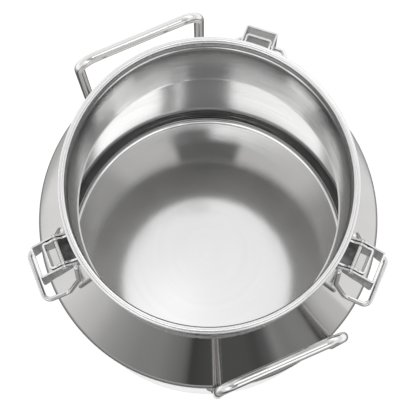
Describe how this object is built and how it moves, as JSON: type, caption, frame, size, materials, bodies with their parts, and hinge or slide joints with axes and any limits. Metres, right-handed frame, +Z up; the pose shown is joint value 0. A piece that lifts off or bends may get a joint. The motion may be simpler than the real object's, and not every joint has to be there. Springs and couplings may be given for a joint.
{
  "type": "milk can",
  "caption": "Open stainless milk can with a straight neck, a conical shoulder, fixed bar handles and toggle latches with wire bails.",
  "frame": {"origin": "centre of the base, on the surface that the can stands on", "axes": "+Z up along the can's axis, -Y towards the front, where the seam of the shoulder is"},
  "size_m": [0.3425, 0.354, 0.42],
  "materials": {
    "satin_steel": "satin, brushed round the can",
    "polished_steel": "polished",
    "bar_steel": "satin, polished along the bar",
    "latch_steel": "pressed sheet, lightly polished",
    "wire_steel": "bright drawn wire",
    "weld_steel": "ground weld"
  },
  "bodies": {
    "can": {"neck_shell": "satin_steel", "neck_seam": "weld_steel", "neck_weld": "weld_steel", "mouth_bead": "polished_steel", "shoulder_cone": "satin_steel", "shoulder_seam": "weld_steel", "shoulder_weld": "weld_steel", "body_shell": "satin_steel", "body_seam": "weld_steel", "bottom_pan": "satin_steel", "bottom_weld": "weld_steel", "handle_rear": "bar_steel", "handle_rear_welds": "weld_steel", "handle_front": "bar_steel", "handle_front_welds": "weld_steel", "latch_left_bracket": "latch_steel", "latch_left_pin": "wire_steel", "latch_right_bracket": "latch_steel", "latch_right_pin": "wire_steel", "latch_rear_bracket": "latch_steel", "latch_rear_pin": "wire_steel"},
    "lever_left": {"latch_left_lever": "latch_steel"},
    "bail_left": {"latch_left_bail": "wire_steel"},
    "lever_right": {"latch_right_lever": "latch_steel"},
    "bail_right": {"latch_right_bail": "wire_steel"},
    "lever_rear": {"latch_rear_lever": "latch_steel"},
    "bail_rear": {"latch_rear_bail": "wire_steel"}
  },
  "joints": [
    {"name": "lever_left_hinge", "type": "hinge", "parent": "can", "child": "lever_left", "pos_m": [-0.13183, -0.05113, 0.359], "axis": [-0.3616, 0.9323, 0], "range_deg": [0, 100]},
    {"name": "bail_left_hinge", "type": "hinge", "parent": "lever_left", "child": "bail_left", "pos_m": [-0.12353, -0.04792, 0.354], "axis": [-0.3616, 0.9323, 0], "range_deg": [0, 70]},
    {"name": "lever_right_hinge", "type": "hinge", "parent": "can", "child": "lever_right", "pos_m": [0.13016, -0.05525, 0.359], "axis": [-0.3907, -0.9205, 0], "range_deg": [0, 100]},
    {"name": "bail_right_hinge", "type": "hinge", "parent": "lever_right", "child": "bail_right", "pos_m": [0.12197, -0.05177, 0.354], "axis": [-0.3907, -0.9205, 0], "range_deg": [0, 70]},
    {"name": "lever_rear_hinge", "type": "hinge", "parent": "can", "child": "lever_rear", "pos_m": [0.04252, 0.13486, 0.359], "axis": [0.9537, -0.3007, 0], "range_deg": [0, 100]},
    {"name": "bail_rear_hinge", "type": "hinge", "parent": "lever_rear", "child": "bail_rear", "pos_m": [0.03984, 0.12637, 0.354], "axis": [0.9537, -0.3007, 0], "range_deg": [0, 70]}
  ]
}
